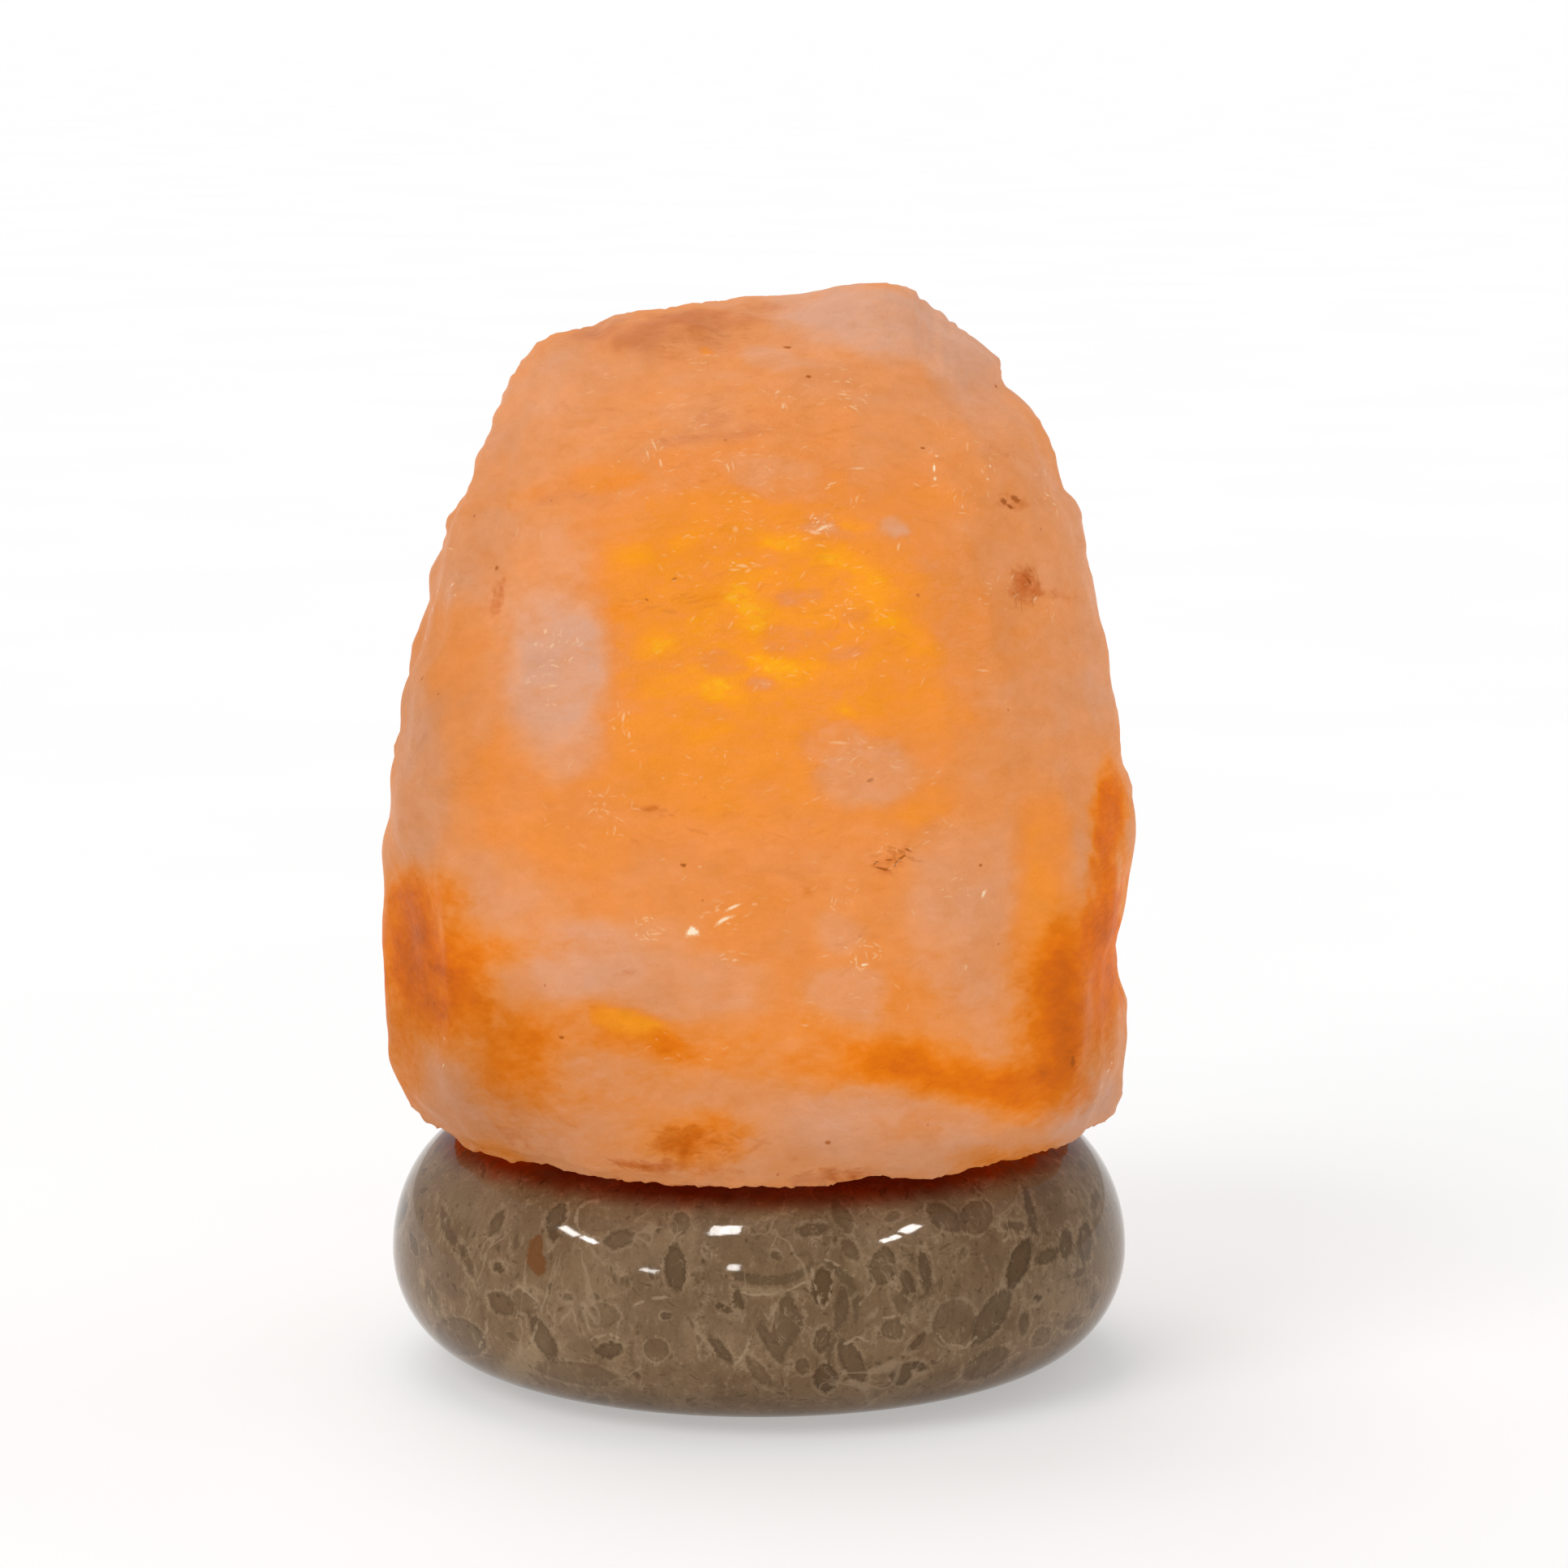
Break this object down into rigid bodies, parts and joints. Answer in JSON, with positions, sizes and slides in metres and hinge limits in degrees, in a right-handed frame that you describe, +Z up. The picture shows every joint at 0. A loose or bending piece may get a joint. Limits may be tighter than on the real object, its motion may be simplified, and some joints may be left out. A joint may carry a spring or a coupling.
{
  "type": "salt lamp",
  "caption": "Table lamp made of a hewn pink salt block on a round polished fossil-marble base, lit from inside by a small screw-in bulb on a holder that pulls out from below.",
  "frame": {"origin": "centre of the underside, on the surface that the rubber feet stand on; it lies on the common axis of the stone, the bore, the holder and the bulb", "axes": "+Z up along the bulb's axis, -Y towards the viewer of the picture, +Y towards the groove where the cord leaves, +X to the viewer's right"},
  "size_m": [0.127, 0.127, 0.1856],
  "materials": {
    "salt": "rough hewn, translucent",
    "fossil_marble": "polished",
    "foot_rubber": "matte",
    "silicone": "satin, translucent",
    "white_plastic": "satin moulded",
    "clip_steel": "zinc plated spring steel",
    "zinc_steel": "zinc plated",
    "porcelain": "glazed",
    "brass": "satin",
    "nickel_brass": "nickel plated",
    "screw_steel": "zinc plated",
    "solder": "dull solder",
    "black_glass": "gloss",
    "clear_glass": "clear, gloss",
    "lead_wire": "dull nickel iron wire",
    "tungsten": "glowing coil"
  },
  "bodies": {
    "base": {"marble_base": "fossil_marble", "rubber_feet": "foot_rubber", "silicone_bead": "silicone", "salt_crystal": "salt"},
    "lamp_unit": {"cord_grip": "white_plastic", "cord_grip_screw": "screw_steel", "entry_nipple": "zinc_steel", "lock_nuts": "zinc_steel", "spring_clip": "clip_steel", "holder_cap": "white_plastic", "holder_sleeve": "white_plastic", "terminal_block": "porcelain", "thread_shell": "nickel_brass", "centre_contact": "brass", "terminal_live": "brass", "terminal_neutral": "brass", "terminal_screws": "screw_steel"},
    "bulb_tip": {"bulb_tip_contact": "solder", "bulb_insulator": "black_glass"},
    "bulb": {"bulb_cap": "nickel_brass", "bulb_glass": "clear_glass", "bulb_stem": "clear_glass", "lead_wires": "lead_wire", "filament": "tungsten", "filament_supports": "lead_wire"}
  },
  "joints": [
    {"name": "lamp_unit_pull", "type": "slide", "parent": "base", "child": "lamp_unit", "axis": [0, 0, -1], "range_m": [0, 0.155]},
    {"name": "bulb_travel", "type": "slide", "parent": "lamp_unit", "child": "bulb_tip", "axis": [0, 0, 1], "range_m": [0, 0.0113]},
    {"name": "bulb_turn", "type": "hinge", "parent": "bulb_tip", "child": "bulb", "pos_m": [0, 0, 0.0842], "axis": [0, 0, 1], "range_deg": [0, 1440]}
  ],
  "couplings": [
    {"joint": "bulb_travel", "follows": "bulb_turn", "m_per_rad": 0.00044914}
  ]
}
